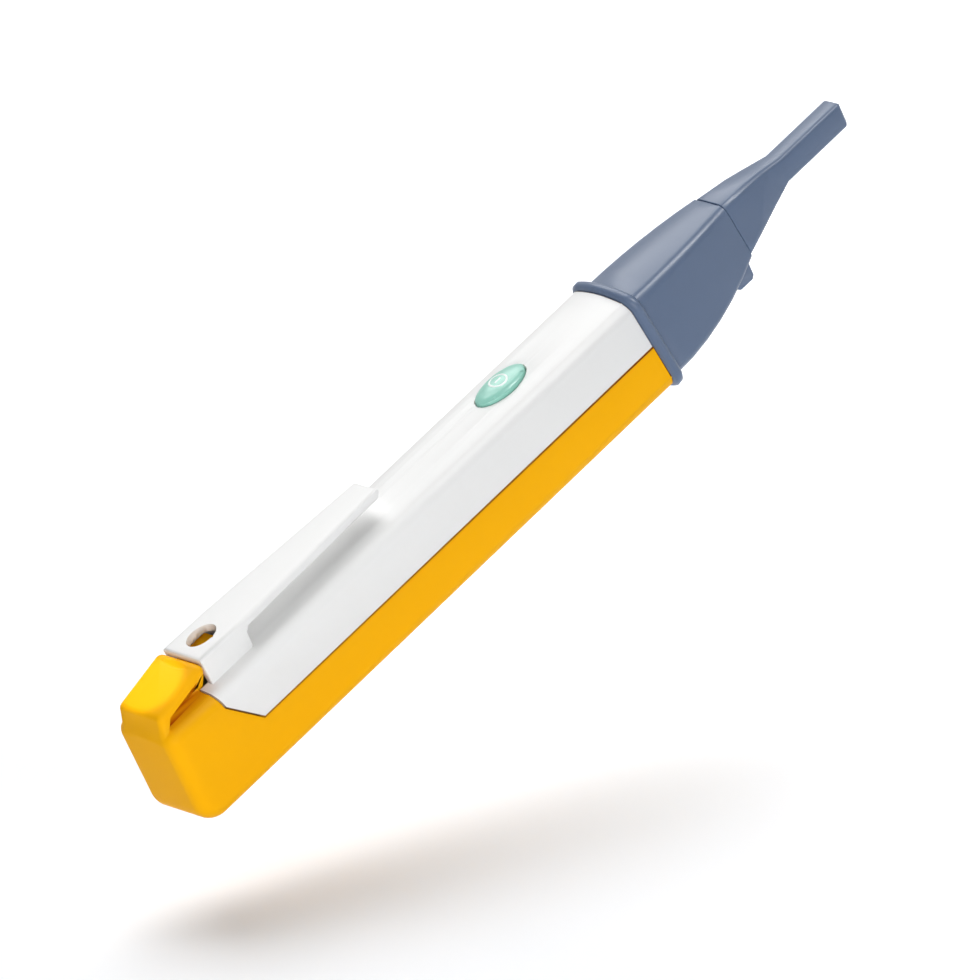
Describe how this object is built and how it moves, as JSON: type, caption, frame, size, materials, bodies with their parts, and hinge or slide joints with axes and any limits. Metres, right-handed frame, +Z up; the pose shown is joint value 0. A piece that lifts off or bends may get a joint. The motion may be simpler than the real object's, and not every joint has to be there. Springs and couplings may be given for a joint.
{
  "type": "live fibre detector",
  "caption": "Pen-shaped live fibre tester: orange and white body with a lift-off battery cover, pocket clip and press key, and a tapered nose that runs into a narrow sensing tip.",
  "frame": {"origin": "under the middle of the pen's length, on the surface it lies on", "axes": "+X from the tail to the sensing tip, +Z up through the cover, key and clip"},
  "size_m": [0.1718, 0.0158, 0.0258],
  "materials": {
    "orange_plastic": "satin",
    "white_plastic": "satin",
    "green_plastic": "satin",
    "blue_grey_plastic": "satin",
    "clear_plastic": "clear",
    "detector_can": "plated",
    "plain_steel": "plated",
    "board_laminate": "lacquered",
    "black_plastic": "matte",
    "red_plastic": "matte",
    "lamp_resin": "clear",
    "cell_jacket": "printed sleeve"
  },
  "bodies": {
    "housing": {"lower_housing": "orange_plastic", "nose_housing": "blue_grey_plastic", "probe_tip": "blue_grey_plastic", "light_guide": "clear_plastic", "photodiode": "detector_can", "detector_leads": "plain_steel", "circuit_board": "board_laminate", "power_switch": "black_plastic", "sounder": "black_plastic", "indicator_led": "lamp_resin", "microcontroller": "black_plastic", "amplifier_chip": "black_plastic", "rear_battery": "cell_jacket", "front_battery": "cell_jacket", "rear_contact": "plain_steel", "front_contact": "plain_steel", "return_strip": "plain_steel", "board_screws": "plain_steel", "nose_screws": "plain_steel"},
    "cover": {"top_cover": "white_plastic", "pocket_clip": "white_plastic"},
    "button": {"power_button": "green_plastic"},
    "plunger": {"switch_plunger": "red_plastic"}
  },
  "joints": [
    {"name": "cover_lift", "type": "slide", "parent": "housing", "child": "cover", "axis": [-0.1132, 0, 0.9936], "range_m": [0, 0.03]},
    {"name": "button_press", "type": "slide", "parent": "cover", "child": "button", "axis": [0, 0, -1], "range_m": [0, 0.0006], "stiffness_N_per_m": 2000},
    {"name": "plunger_travel", "type": "slide", "parent": "housing", "child": "plunger", "axis": [0, 0, -1], "range_m": [0, 0.0006]}
  ],
  "couplings": [
    {"joint": "plunger_travel", "follows": "button_press", "ratio": 1}
  ]
}
